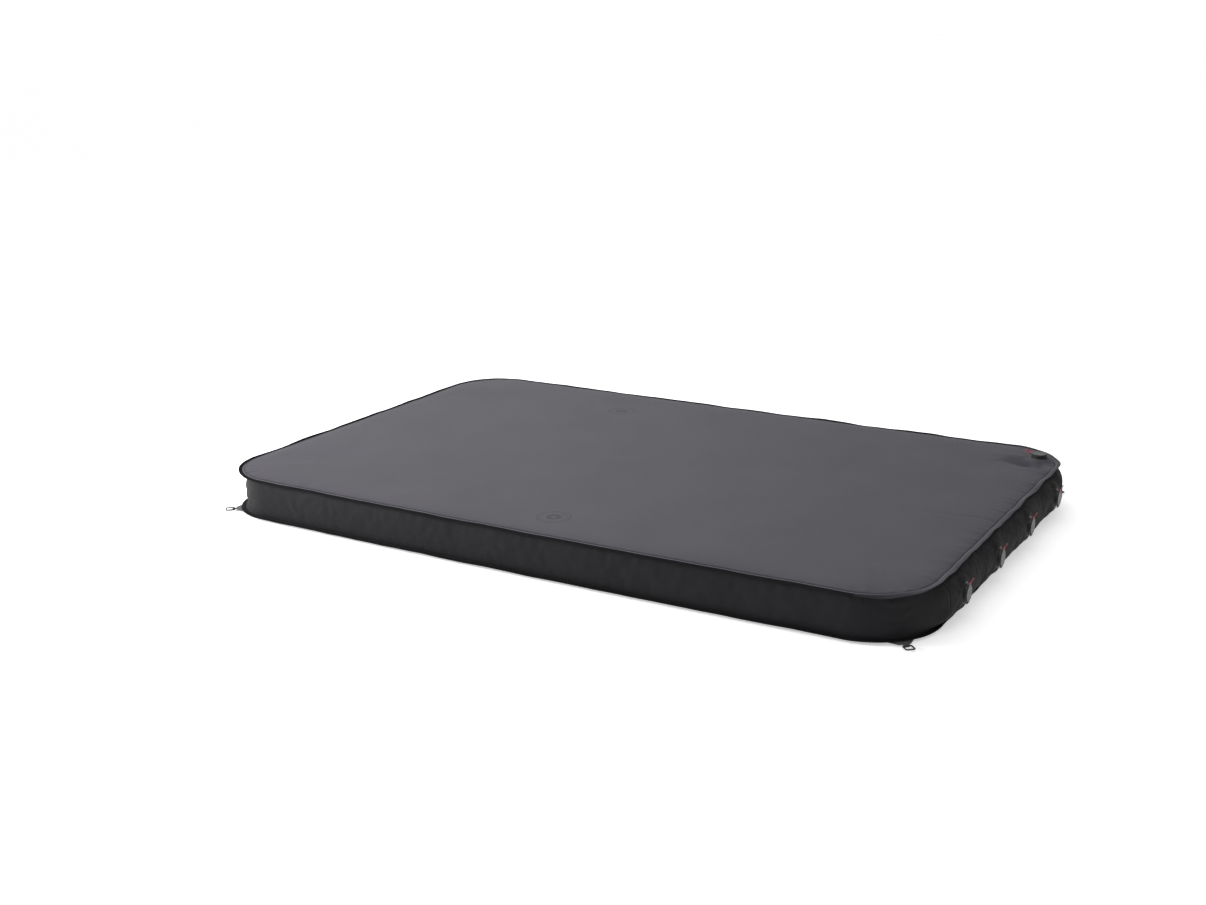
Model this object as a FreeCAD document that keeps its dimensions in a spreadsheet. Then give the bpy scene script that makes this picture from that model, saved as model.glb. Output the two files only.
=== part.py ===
"""Self-inflating double sleeping pad: welded shell, cored foam, five flat valves and four corner rings.

Frame: +X towards the foot end (the valve wall), +Y across to the side of the lid valve, +Z up.
The origin is the centre of the rest face on the ground. All lengths are in millimetres.
"""
import FreeCAD, Part
import math
import os
import re

import Sketcher

V = FreeCAD.Vector

SIZES = [
    # the pad as it lies inflated
    ("pad_length", 2000), ("pad_width", 1300), ("pad_height", 120), ("corner_radius", 167),
    # welded fabric shell
    ("fabric_thick", 1.2), ("seam_width", 12), ("crown_rise", 6), ("crown_run", 12),
    # foot end wall, which bulges out past the seam
    ("foot_bulge", 32), ("foot_flat", 64), ("foot_taper", 53), ("bulge_stub", 1),
    # foam core
    ("glue_gap", 0.3), ("core_hole_dia", 44), ("core_hole_pitch", 90), ("core_hole_count", 21),
    ("recess_gap", 3), ("recess_depth", 16),
    # where the valves sit
    ("valve_pitch", 261), ("lid_weld_from_foot", 45), ("lid_weld_from_side", 78), ("hole_gap", 0.2),
    # valve base: weld disc, neck and hinge ears
    ("neck_bore", 30), ("neck_wall", 5), ("neck_top", 5), ("weld_width", 5), ("weld_thick", 1.5),
    # clearances between valve pieces that move
    ("seat_gap", 0.3), ("side_gap", 0.3), ("plug_gap", 0.5), ("pin_gap", 0.05), ("tab_pin_gap", 0.1),
    ("stem_gap", 0.1),
    # hinges of the valve
    ("pin_dia", 2), ("knuckle_radius", 1.9), ("knuckle_width", 8), ("ear_thick", 3),
    ("ear_radius", 2.4), ("hinge_out", 2.5), ("plug_hinge_level", 3.5), ("web_back", 1.4),
    ("barrel_gap", 0.4), ("root_depth", 5.1),
    # plug with its grid, seal and flap
    ("lip_inset", 1), ("lip_thick", 1.8), ("plug_bottom", 8), ("plug_foot_dia", 24.4), ("plug_bore", 20),
    ("grid_thick", 2), ("grid_hole_dia", 5), ("grid_hole_circle", 13), ("grid_hole_count", 6),
    ("seal_inset", 0.6), ("seal_width", 1.6), ("seal_thick", 0.8),
    ("flap_dia", 23), ("flap_thick", 1), ("flap_travel", 2.5), ("stem_dia", 2.4), ("stem_head_dia", 4.4),
    ("stem_head_thick", 1),
    # cap with its disc and pull tab
    ("cap_thick", 3), ("cap_bevel", 0.8), ("boss_depth", 3), ("boss_draft", 0.5),
    ("notch_dia", 3), ("notch_count", 20), ("disc_dia", 26), ("disc_thick", 0.6),
    ("tab_width", 12), ("tab_length", 17), ("tab_thick", 1.6), ("tab_slot_width", 6.4),
    ("tab_slot_length", 8.5), ("tab_corner", 2.5), ("tab_slot_start", 5.5), ("tab_angle", 30),
    ("tab_ear_thick", 2),
    # corner tabs and rings
    ("patch_half_root", 34), ("patch_half_tip", 6), ("patch_thick", 1.6), ("patch_inset", 10),
    ("ring_reach", 22), ("ring_side", 24), ("ring_wire", 3.6), ("ring_corner", 4),
    ("ring_gap", 0.3), ("loop_wall", 1.4), ("strap_length", 9),
]

NOTCH_SINK = 0.4  # share of a notch's diameter that bites into the cap's rim

doc = FreeCAD.newDocument("SleepingPad")
sheet = doc.addObject("Spreadsheet::Sheet", "Sizes")
for row, (alias, value) in enumerate(SIZES, start=1):
    sheet.set(f"A{row}", alias.replace("_", " "))
    sheet.set(f"B{row}", str(value))
    sheet.setAlias(f"B{row}", alias)
doc.recompute()

nodes = []


def bound(expression):
    """The expression with each size name, a word with an underscore in it, pointing at its cell."""
    return re.sub(r"[a-z]+(_[a-z]+)+", lambda name: "Sizes." + name.group(), expression)


def amount(expression):
    """The expression's value now, as a plain number."""
    value = sheet.evalExpression(bound(expression))
    return float(getattr(value, "Value", value))


# places along Z of the pad's shell
TOP_SEAM = "pad_height - crown_rise - fabric_thick"
BOTTOM_SEAM = "crown_rise + fabric_thick"
MID_LEVEL = "pad_height / 2"
# radii of a valve
NECK = "(neck_bore / 2 + neck_wall)"
HINGE_REACH = f"({NECK} + hinge_out)"
SEAL_INNER = "neck_bore / 2 + seal_inset"
SEAL_OUTER = "neck_bore / 2 + seal_inset + seal_width"
# levels on a valve, measured outwards from the face of the fabric
LIP_BOTTOM = "neck_top + seat_gap"
LIP_TOP = "neck_top + seat_gap + lip_thick"
CAP_BOTTOM = "neck_top + 2 * seat_gap + lip_thick"
CAP_TOP = "neck_top + 2 * seat_gap + lip_thick + cap_thick"
CAP_HINGE = LIP_TOP
TAB_HINGE = "neck_top + 2 * seat_gap + lip_thick + cap_thick / 2"


# ---------------------------------------------------------------- sketch and feature helpers

def new_body(name):
    body = doc.addObject("PartDesign::Body", "Body_" + name)
    body.Label = name
    nodes.append(body)
    return body


def new_sketch(body, role, lift=None):
    """A sketch on one of the body's own origin planes, lifted along the plane's normal."""
    plane = next(f for f in body.Origin.OriginFeatures if f.Role == role)
    sketch = body.newObject("Sketcher::SketchObject", "Sketch_" + body.Label)
    sketch.AttachmentSupport = [(plane, "")]
    sketch.MapMode = "FlatFace"
    if lift:
        sketch.setExpression("AttachmentOffset.Base.z", bound(lift))
    return sketch


def place_point(sketch, geometry, point, x, y):
    """Tie one point of a sketch to the sketch's origin, by expressions."""
    for kind, axis, expression in (("DistanceX", -2, x), ("DistanceY", -1, y)):
        if expression == "0":
            sketch.addConstraint(Sketcher.Constraint("PointOnObject", geometry, point, axis))
            continue
        index = sketch.addConstraint(
            Sketcher.Constraint(kind, -1, 1, geometry, point, amount(expression)))
        sketch.setExpression(f"Constraints[{index}]", bound(expression))


def polygon(sketch, corners):
    """A closed outline of straight sides through the given corners."""
    spots = [V(amount(x), amount(y), 0) for x, y in corners]
    first = sketch.GeometryCount
    count = len(corners)
    for i in range(count):
        sketch.addGeometry(Part.LineSegment(spots[i], spots[(i + 1) % count]), False)
    for i in range(count):
        sketch.addConstraint(
            Sketcher.Constraint("Coincident", first + i, 2, first + (i + 1) % count, 1))
    for i, (x, y) in enumerate(corners):
        place_point(sketch, first + i, 1, x, y)


def rectangle(sketch, low_x, low_y, high_x, high_y):
    polygon(sketch, [(low_x, low_y), (high_x, low_y), (high_x, high_y), (low_x, high_y)])


def circle(sketch, x, y, radius):
    index = sketch.addGeometry(
        Part.Circle(V(amount(x), amount(y), 0), V(0, 0, 1), amount(radius)), False)
    place_point(sketch, index, 3, x, y)
    size = sketch.addConstraint(Sketcher.Constraint("Radius", index, amount(radius)))
    sketch.setExpression(f"Constraints[{size}]", bound(radius))


def rounded_rectangle(sketch, half_x, half_y, radius, middle_x="0"):
    """A rectangle with four equal round corners; its middle stands at middle_x on the X axis."""
    mid, hx, hy, r = amount(middle_x), amount(half_x), amount(half_y), amount(radius)
    first = sketch.GeometryCount
    turns = [(1, -1), (1, 1), (-1, 1), (-1, -1)]
    quarter = math.pi / 2
    ends = [(mid - hx + r, -hy), (mid + hx, -hy + r), (mid + hx - r, hy), (mid - hx, hy - r)]
    stops = [(mid + hx - r, -hy), (mid + hx, hy - r), (mid - hx + r, hy), (mid - hx, -hy + r)]
    for i, (sx, sy) in enumerate(turns):
        sketch.addGeometry(Part.LineSegment(V(*ends[i], 0), V(*stops[i], 0)), False)
        centre = V(mid + sx * (hx - r), sy * (hy - r), 0)
        round_corner = Part.Circle(centre, V(0, 0, 1), r)
        start = (i - 1) * quarter
        sketch.addGeometry(Part.ArcOfCircle(round_corner, start, start + quarter), False)
    for i in range(4):
        line, arc, following = first + 2 * i, first + 2 * i + 1, first + (2 * i + 2) % 8
        sketch.addConstraint(Sketcher.Constraint("Tangent", line, 2, arc, 1))
        sketch.addConstraint(Sketcher.Constraint("Tangent", arc, 2, following, 1))
        sketch.addConstraint(Sketcher.Constraint("Vertical" if i % 2 else "Horizontal", line))
    for i in range(1, 4):
        sketch.addConstraint(Sketcher.Constraint("Equal", first + 1, first + 2 * i + 1))
    size = sketch.addConstraint(Sketcher.Constraint("Radius", first + 1, r))
    sketch.setExpression(f"Constraints[{size}]", bound(radius))
    sides = [("DistanceY", first, f"-({half_y})"), ("DistanceX", first + 2, f"{middle_x} + {half_x}"),
             ("DistanceY", first + 4, half_y), ("DistanceX", first + 6, f"{middle_x} - ({half_x})")]
    for kind, line, expression in sides:
        index = sketch.addConstraint(Sketcher.Constraint(kind, -1, 1, line, 1, amount(expression)))
        sketch.setExpression(f"Constraints[{index}]", bound(expression))


def pad_outline(sketch, inset):
    """The pad's outline in plan, moved inwards by inset."""
    rounded_rectangle(sketch, f"pad_length / 2 - ({inset})", f"pad_width / 2 - ({inset})",
                      f"corner_radius - ({inset})")


def extrude(body, kind, sketch, length=None, both_ways=False, backwards=False):
    """A Pad or a Pocket; with no length it goes through everything."""
    feature = body.newObject("PartDesign::" + kind, kind + "_" + body.Label)
    feature.Profile = sketch
    if length is None:
        feature.Type = "ThroughAll"
    else:
        feature.setExpression("Length", bound(length))
    feature.Midplane = both_ways
    feature.Reversed = backwards
    return feature


def loft(body, kind, sections):
    feature = body.newObject("PartDesign::" + kind, kind + "_" + body.Label)
    feature.Profile = sections[0]
    feature.Sections = sections[1:]
    feature.Ruled = True
    return feature


def revolve(body, corners, kind="Revolution"):
    """A full turn about the body's Z axis of an outline given as (radius, level) corners."""
    sketch = new_sketch(body, "XZ_Plane")
    polygon(sketch, corners)
    feature = body.newObject("PartDesign::" + kind, kind + "_" + body.Label)
    feature.Profile = sketch
    feature.ReferenceAxis = (sketch, ["V_Axis"])
    feature.Angle = 360
    return feature


def ring_pattern(body, feature, count):
    pattern = body.newObject("PartDesign::PolarPattern", "Pattern_" + body.Label)
    pattern.Originals = [feature]
    pattern.Axis = (feature.Profile[0], ["N_Axis"])
    pattern.Angle = 360
    pattern.setExpression("Occurrences", bound(count))
    body.Tip = pattern
    return pattern


def put(body, base, rotation=FreeCAD.Rotation()):
    """Place a body: its turn is fixed and its position follows the sheet."""
    body.Placement = FreeCAD.Placement(V(*(amount(b) for b in base)), rotation)
    for axis, expression in zip("xyz", base):
        body.setExpression("Placement.Base." + axis, bound(expression))


# ---------------------------------------------------------------- fabric shell and foam

def cover_sheet(name, seam, far_side, inner_side, outwards):
    """Top or bottom sheet: a flat seam margin, then a slope up to the flat crown.

    seam is the inner face of the margin, far_side the crown's outer face (None is the ground) and
    inner_side its inner face.
    """
    body = new_body(name)
    margin = new_sketch(body, "XY_Plane", seam)
    pad_outline(margin, "0")
    extrude(body, "Pad", margin, "fabric_thick", backwards=outwards < 0)
    low = new_sketch(body, "XY_Plane", f"{seam} + {outwards} * fabric_thick")
    pad_outline(low, "seam_width")
    high = new_sketch(body, "XY_Plane", far_side)
    pad_outline(high, "seam_width + crown_run")
    loft(body, "AdditiveLoft", [low, high])
    hollow_low = new_sketch(body, "XY_Plane", seam)
    pad_outline(hollow_low, "seam_width + fabric_thick")
    hollow_high = new_sketch(body, "XY_Plane", inner_side)
    pad_outline(hollow_high, "seam_width + fabric_thick + crown_run")
    loft(body, "SubtractiveLoft", [hollow_low, hollow_high])
    return body


def top_sheet():
    body = cover_sheet("top_sheet", TOP_SEAM, "pad_height", "pad_height - fabric_thick", 1)
    hole = new_sketch(body, "XY_Plane")
    circle(hole, *LID_VALVE_XY, f"{NECK} + hole_gap")
    extrude(body, "Pocket", hole, both_ways=True)


def bottom_sheet():
    cover_sheet("bottom_sheet", BOTTOM_SEAM, None, "fabric_thick", -1)


def side_wall():
    """Wall strip round the head end and both sides, with a seam margin turned out at top and bottom."""
    body = new_body("side_wall")
    for level, inset, depth in (
            (BOTTOM_SEAM, "0", "fabric_thick"),
            (BOTTOM_SEAM, "seam_width", f"{TOP_SEAM} - ({BOTTOM_SEAM})"),
            (f"{TOP_SEAM} - fabric_thick", "0", "fabric_thick")):
        band = new_sketch(body, "XY_Plane", level)
        pad_outline(band, inset)
        pad_outline(band, "seam_width + fabric_thick")
        extrude(body, "Pad", band, depth)
    gap = new_sketch(body, "XY_Plane")
    rectangle(gap, "pad_length / 2 - corner_radius / 2", "-(pad_width / 2 - corner_radius)",
              "pad_length / 2 + corner_radius / 2", "pad_width / 2 - corner_radius")
    extrude(body, "Pocket", gap, both_ways=True)


def foot_section(body, along, bulge):
    """Cross-section of the foot wall at one station across the pad: margins and a wall bulged out."""
    seam_x = "pad_length / 2 - seam_width"
    inner_x = "pad_length / 2 - seam_width - fabric_thick"
    flat_low = f"{MID_LEVEL} - foot_flat / 2"
    flat_high = f"{MID_LEVEL} + foot_flat / 2"
    section = new_sketch(body, "XZ_Plane", along)
    polygon(section, [
        ("pad_length / 2", TOP_SEAM),
        (inner_x, TOP_SEAM),
        (inner_x, f"{TOP_SEAM} - 2 * fabric_thick"),
        (f"{inner_x} + {bulge}", flat_high),
        (f"{inner_x} + {bulge}", flat_low),
        (inner_x, f"{BOTTOM_SEAM} + 2 * fabric_thick"),
        (inner_x, BOTTOM_SEAM),
        ("pad_length / 2", BOTTOM_SEAM),
        ("pad_length / 2", f"{BOTTOM_SEAM} + fabric_thick"),
        (seam_x, f"{BOTTOM_SEAM} + fabric_thick"),
        (f"{seam_x} + {bulge}", flat_low),
        (f"{seam_x} + {bulge}", flat_high),
        (seam_x, f"{TOP_SEAM} - fabric_thick"),
        ("pad_length / 2", f"{TOP_SEAM} - fabric_thick")])
    return section


def foot_wall():
    body = new_body("foot_wall")
    end = "(pad_width / 2 - corner_radius)"
    full = "(pad_width / 2 - corner_radius - foot_taper)"
    loft(body, "AdditiveLoft", [
        foot_section(body, f"-{end}", "bulge_stub"), foot_section(body, f"-{full}", "foot_bulge"),
        foot_section(body, full, "foot_bulge"), foot_section(body, end, "bulge_stub")])
    holes = new_sketch(body, "YZ_Plane")
    for place in FOOT_VALVES:
        circle(holes, f"{place} * valve_pitch", MID_LEVEL, f"{NECK} + hole_gap")
    extrude(body, "Pocket", holes, both_ways=True)


def foam_core():
    """Foam block glued to both sheets, cored crosswise, with a recess under the lid valve."""
    body = new_body("foam_core")
    side = "(seam_width + fabric_thick + glue_gap)"
    low = f"{BOTTOM_SEAM} + glue_gap"
    high = f"{TOP_SEAM} - glue_gap"
    block = new_sketch(body, "XY_Plane", low)
    pad_outline(block, side)
    extrude(body, "Pad", block, f"{TOP_SEAM} - ({BOTTOM_SEAM}) - 2 * glue_gap")
    for start, stop in ((high, "pad_height - fabric_thick - glue_gap"), (low, "fabric_thick + glue_gap")):
        first = new_sketch(body, "XY_Plane", start)
        pad_outline(first, side)
        last = new_sketch(body, "XY_Plane", stop)
        pad_outline(last, f"{side} + crown_run")
        loft(body, "AdditiveLoft", [first, last])
    recess = new_sketch(body, "XY_Plane", "pad_height")
    circle(recess, *LID_VALVE_XY, f"{NECK} + weld_width + recess_gap")
    extrude(body, "Pocket", recess, "recess_depth")
    hole = new_sketch(body, "XZ_Plane")
    circle(hole, "-(core_hole_count - 1) / 2 * core_hole_pitch", MID_LEVEL, "core_hole_dia / 2")
    coring = extrude(body, "Pocket", hole, both_ways=True)
    row_of_holes = body.newObject("PartDesign::LinearPattern", "Row_foam_core")
    row_of_holes.Originals = [coring]
    row_of_holes.Direction = (hole, ["H_Axis"])
    row_of_holes.setExpression("Length", bound("(core_hole_count - 1) * core_hole_pitch"))
    row_of_holes.setExpression("Occurrences", bound("core_hole_count"))
    body.Tip = row_of_holes


# ---------------------------------------------------------------- valves

def hinge_ears(body, role, level, base_level, radius, facing):
    """Two ears beside a knuckle: a plate round the pin, open in the middle for the knuckle.

    role is the plane across the pin, and facing (-1 or 1) the side of the valve where the ears stand.
    """
    reach = f"{facing} * {HINGE_REACH}"
    root = f"{facing} * ({HINGE_REACH} - root_depth)"
    outside = "(knuckle_width + 2 * side_gap + 2 * ear_thick)"
    plate = new_sketch(body, role)
    rectangle(plate, f"{reach} + {facing} * {radius}", base_level, root, level)
    extrude(body, "Pad", plate, outside, both_ways=True)
    head = new_sketch(body, role)
    circle(head, reach, level, radius)
    extrude(body, "Pad", head, outside, both_ways=True)
    gap = new_sketch(body, role)
    rectangle(gap, f"{facing} * ({HINGE_REACH} + 2 * {radius})", f"{base_level} - {radius}",
              f"{facing} * ({HINGE_REACH} - knuckle_radius - barrel_gap)", f"{level} + 2 * {radius}")
    extrude(body, "Pocket", gap, "knuckle_width + 2 * side_gap", both_ways=True)
    bore = new_sketch(body, role)
    circle(bore, reach, level, "pin_dia / 2")
    extrude(body, "Pocket", bore, outside, both_ways=True)


def hinge_knuckle(body, role, level, tongue_low, tongue_high, facing):
    """A knuckle round the pin, its web and the tongue that joins it to the rim."""
    reach = f"{facing} * {HINGE_REACH}"
    barrel = new_sketch(body, role)
    circle(barrel, reach, level, "knuckle_radius")
    extrude(body, "Pad", barrel, "knuckle_width", both_ways=True)
    web = new_sketch(body, role)
    rectangle(web, f"{facing} * ({HINGE_REACH} + web_back)", level,
              f"{facing} * ({HINGE_REACH} - web_back)", tongue_high)
    extrude(body, "Pad", web, "knuckle_width", both_ways=True)
    tongue = new_sketch(body, role)
    rectangle(tongue, reach, tongue_low, f"{facing} * ({HINGE_REACH} - root_depth)", tongue_high)
    extrude(body, "Pad", tongue, "knuckle_width", both_ways=True)
    bore = new_sketch(body, role)
    circle(bore, reach, level, "pin_dia / 2 + pin_gap")
    extrude(body, "Pocket", bore, "2 * knuckle_width", both_ways=True)


def hinge_pin(name, role, level, facing):
    body = new_body(name)
    wire = new_sketch(body, role)
    circle(wire, f"{facing} * {HINGE_REACH}", level, "pin_dia / 2")
    extrude(body, "Pad", wire, "knuckle_width + 2 * side_gap + 2 * ear_thick", both_ways=True)
    return body


def valve_base(name):
    """Weld disc inside the fabric, neck through it, and the ears that hold the plug's pin."""
    body = new_body(name + "_base")
    revolve(body, [
        ("neck_bore / 2", "-(fabric_thick + weld_thick)"),
        (f"{NECK} + weld_width", "-(fabric_thick + weld_thick)"),
        (f"{NECK} + weld_width", "-fabric_thick"), (NECK, "-fabric_thick"),
        (NECK, "neck_top"), ("neck_bore / 2", "neck_top")])
    hinge_ears(body, "YZ_Plane", "plug_hinge_level", "0", "ear_radius", -1)
    return body


def valve_plug(name):
    """Grey plug: tapered body, lip with a seal groove, grid with the flap's guide, cap hinge ears."""
    body = new_body(name + "_plug")
    revolve(body, [
        ("plug_bore / 2", "-plug_bottom"), ("plug_foot_dia / 2", "-plug_bottom"),
        ("neck_bore / 2 - plug_gap", "plug_hinge_level"), ("neck_bore / 2 - plug_gap", LIP_BOTTOM),
        (SEAL_INNER, LIP_BOTTOM), (SEAL_INNER, f"{LIP_BOTTOM} + seal_thick"),
        (SEAL_OUTER, f"{LIP_BOTTOM} + seal_thick"), (SEAL_OUTER, LIP_BOTTOM),
        (f"{NECK} - lip_inset", LIP_BOTTOM), (f"{NECK} - lip_inset", LIP_TOP), ("plug_bore / 2", LIP_TOP)])
    hinge_knuckle(body, "YZ_Plane", "plug_hinge_level", LIP_BOTTOM, LIP_TOP, -1)
    hinge_ears(body, "XZ_Plane", CAP_HINGE, LIP_BOTTOM, "knuckle_radius", -1)
    grid = new_sketch(body, "XY_Plane", "-plug_bottom")
    circle(grid, "0", "0", "(plug_bore + plug_foot_dia) / 4")
    circle(grid, "0", "0", "stem_dia / 2 + stem_gap")
    extrude(body, "Pad", grid, "grid_thick")
    hole = new_sketch(body, "XY_Plane", "-plug_bottom")
    circle(hole, "grid_hole_circle / 2", "0", "grid_hole_dia / 2")
    vent = extrude(body, "Pocket", hole, "grid_thick", backwards=True)
    ring_pattern(body, vent, "grid_hole_count")
    return body


def plug_seal(name):
    body = new_body(name + "_seal")
    washer = new_sketch(body, "XY_Plane", LIP_BOTTOM)
    circle(washer, "0", "0", SEAL_OUTER)
    circle(washer, "0", "0", SEAL_INNER)
    extrude(body, "Pad", washer, "seal_thick")
    return body


def valve_flap(name):
    """One-way flap under the grid, with a headed stem that slides in the grid's guide."""
    body = new_body(name + "_flap")
    under = "-(plug_bottom + seat_gap)"
    shoulder = "-plug_bottom + grid_thick + seat_gap + flap_travel"
    revolve(body, [
        ("0", f"{under} - flap_thick"), ("flap_dia / 2", f"{under} - flap_thick"),
        ("flap_dia / 2", under), ("stem_dia / 2", under), ("stem_dia / 2", shoulder),
        ("stem_head_dia / 2", shoulder), ("stem_head_dia / 2", f"{shoulder} + stem_head_thick"),
        ("0", f"{shoulder} + stem_head_thick")])
    return body


def valve_cap(name):
    """Black cap: ribbed disc with a boss for the plug's bore, a hinge knuckle and the tab's bar."""
    body = new_body(name + "_cap")
    boss_top = "plug_bore / 2 - side_gap"
    revolve(body, [
        ("0", f"{CAP_BOTTOM} - boss_depth"), (f"{boss_top} - boss_draft", f"{CAP_BOTTOM} - boss_depth"),
        (boss_top, CAP_BOTTOM), (NECK, CAP_BOTTOM),
        (NECK, f"{CAP_TOP} - cap_bevel"), (f"{NECK} - cap_bevel", CAP_TOP),
        ("disc_dia / 2", CAP_TOP), ("disc_dia / 2", f"{CAP_TOP} - disc_thick"),
        ("0", f"{CAP_TOP} - disc_thick")])
    notch = new_sketch(body, "XY_Plane", CAP_BOTTOM)
    circle(notch, "0", f"{NECK} + notch_dia / 2 - {NOTCH_SINK} * notch_dia", "notch_dia / 2")
    grip = extrude(body, "Pocket", notch, "cap_thick", backwards=True)
    ring_pattern(body, grip, "notch_count")
    hinge_knuckle(body, "XZ_Plane", CAP_HINGE, CAP_BOTTOM, f"{CAP_HINGE} + knuckle_radius", -1)
    lug = new_sketch(body, "XZ_Plane")
    rectangle(lug, f"{HINGE_REACH} - root_depth", CAP_BOTTOM, f"{HINGE_REACH} + pin_dia / 2", CAP_TOP)
    extrude(body, "Pad", lug, "tab_width + 2 * side_gap + 2 * tab_ear_thick", both_ways=True)
    opening = new_sketch(body, "XZ_Plane")
    rectangle(opening, f"{HINGE_REACH} - knuckle_radius - barrel_gap", f"{CAP_BOTTOM} - cap_thick",
              f"{HINGE_REACH} + 2 * knuckle_radius", f"{CAP_TOP} + cap_thick")
    extrude(body, "Pocket", opening, "tab_width + 2 * side_gap", both_ways=True)
    bar = new_sketch(body, "XZ_Plane")
    circle(bar, HINGE_REACH, TAB_HINGE, "pin_dia / 2")
    extrude(body, "Pad", bar, "tab_width + 2 * side_gap + tab_ear_thick", both_ways=True)
    return body


def cap_disc(name):
    body = new_body(name + "_disc")
    face = new_sketch(body, "XY_Plane", f"{CAP_TOP} - disc_thick")
    circle(face, "0", "0", "disc_dia / 2")
    extrude(body, "Pad", face, "disc_thick")
    return body


def pull_tab(name):
    """Red pull tab: a sleeve on the cap's bar and a flat loop, drawn about the bar along +X."""
    body = new_body(name + "_tab")
    plate = new_sketch(body, "XY_Plane", "-tab_thick / 2")
    rounded_rectangle(plate, "tab_length / 2", "tab_width / 2", "tab_corner", "tab_length / 2")
    extrude(body, "Pad", plate, "tab_thick")
    sleeve = new_sketch(body, "XZ_Plane")
    circle(sleeve, "0", "0", "knuckle_radius")
    extrude(body, "Pad", sleeve, "tab_width", both_ways=True)
    slot = new_sketch(body, "XY_Plane")
    rounded_rectangle(slot, "tab_slot_length / 2", "tab_slot_width / 2", "tab_corner / 2",
                      "tab_slot_start + tab_slot_length / 2")
    extrude(body, "Pocket", slot, both_ways=True)
    bore = new_sketch(body, "XZ_Plane")
    circle(bore, "0", "0", "pin_dia / 2 + tab_pin_gap")
    extrude(body, "Pocket", bore, "2 * tab_width", both_ways=True)
    return body


def valve(name, base, across, up, out):
    """One whole valve. up is the side of the pull tab, out the way the valve faces."""
    turn = FreeCAD.Rotation(up, across, out, "XZY")
    pieces = [valve_base(name), valve_plug(name), plug_seal(name), valve_flap(name), valve_cap(name),
              cap_disc(name), hinge_pin(name + "_plug_pin", "YZ_Plane", "plug_hinge_level", -1),
              hinge_pin(name + "_cap_pin", "XZ_Plane", CAP_HINGE, -1)]
    for piece in pieces:
        put(piece, base, turn)
    tab_base = [f"{b} + {u} * {HINGE_REACH} + {o} * ({TAB_HINGE})" for b, u, o in zip(base, up, out)]
    lift = FreeCAD.Rotation(V(0, 1, 0), -amount("tab_angle"))
    put(pull_tab(name), tab_base, turn * lift)


# ---------------------------------------------------------------- corner tabs and rings

def corner_tab(name):
    """Patch welded under the seam margin, ending in a loop for the ring; X points out of the corner."""
    body = new_body(name + "_tab")
    loop_radius = "(ring_wire / 2 + ring_gap + loop_wall)"
    patch = new_sketch(body, "XY_Plane", "-patch_thick / 2")
    polygon(patch, [("-patch_inset", "-patch_half_root"), ("ring_reach", "-patch_half_tip"),
                    ("ring_reach", "patch_half_tip"), ("-patch_inset", "patch_half_root")])
    extrude(body, "Pad", patch, "patch_thick")
    loop = new_sketch(body, "XZ_Plane")
    circle(loop, "ring_reach", "0", loop_radius)
    extrude(body, "Pad", loop, "2 * patch_half_tip", both_ways=True)
    trim = new_sketch(body, "XY_Plane")
    rectangle(trim, "ring_reach - strap_length", "patch_half_tip", "2 * ring_reach", "patch_half_root")
    rectangle(trim, "ring_reach - strap_length", "-patch_half_root", "2 * ring_reach", "-patch_half_tip")
    extrude(body, "Pocket", trim, both_ways=True)
    bore = new_sketch(body, "XZ_Plane")
    circle(bore, "ring_reach", "0", "ring_wire / 2 + ring_gap")
    extrude(body, "Pocket", bore, "2 * patch_half_root", both_ways=True)
    return body


def corner_ring(name):
    """Square wire ring, drawn with its held side on the Y axis."""
    body = new_body(name + "_ring")
    path = new_sketch(body, "XY_Plane")
    half = "(ring_side - ring_wire) / 2"
    rounded_rectangle(path, half, half, "ring_corner", f"{half}")
    wire = new_sketch(body, "XZ_Plane")
    circle(wire, "0", "0", "ring_wire / 2")
    sweep = body.newObject("PartDesign::AdditivePipe", "Sweep_" + body.Label)
    sweep.Profile = wire
    sweep.Spine = (path, [f"Edge{i + 1}" for i in range(path.GeometryCount)])
    return body


def corner(name, toward_x, toward_y):
    """Tab and ring on one corner, along the diagonal from the corner's round."""
    turn = FreeCAD.Rotation(V(1, 0, 0), V(toward_x, toward_y, 0))
    level = "crown_rise - patch_thick / 2"

    def on_diagonal(beyond):
        share = f"({beyond} + corner_radius) / sqrt(2)"
        return (f"{toward_x} * (pad_length / 2 - corner_radius + {share})",
                f"{toward_y} * (pad_width / 2 - corner_radius + {share})", level)

    put(corner_tab(name), on_diagonal("0"), turn)
    put(corner_ring(name), on_diagonal("ring_reach"), turn)


# ---------------------------------------------------------------- the whole pad

LID_VALVE_XY = (f"pad_length / 2 - lid_weld_from_foot - weld_width - {NECK}",
                f"pad_width / 2 - lid_weld_from_side - weld_width - {NECK}")
FOOT_VALVES = (-1.5, -0.5, 0.5, 1.5)
CORNERS = (("head_left", -1, -1), ("head_right", -1, 1), ("foot_left", 1, -1), ("foot_right", 1, 1))


def build():
    top_sheet()
    bottom_sheet()
    side_wall()
    foot_wall()
    foam_core()
    across = V(0, -1, 0)
    face = "pad_length / 2 - seam_width + foot_bulge"
    for number, place in enumerate(FOOT_VALVES, start=1):
        valve(f"foot_valve_{number}", (face, f"{place} * valve_pitch", MID_LEVEL),
              across, V(0, 0, 1), V(1, 0, 0))
    valve("lid_valve", (*LID_VALVE_XY, "pad_height"), across, V(-1, 0, 0), V(0, 0, 1))
    for name, toward_x, toward_y in CORNERS:
        corner(name, toward_x, toward_y)


def check():
    """Stop if any feature failed or any sub-part isn't one good solid."""
    for item in doc.Objects:
        if {"Invalid", "Error"} & set(item.State):
            raise RuntimeError(f"{item.Label} failed: {item.State}")
    for node in nodes:
        shape = node.Shape
        if shape.isNull() or not shape.isValid() or len(shape.Solids) != 1:
            raise RuntimeError(f"{node.Label} is not one valid solid")


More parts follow.
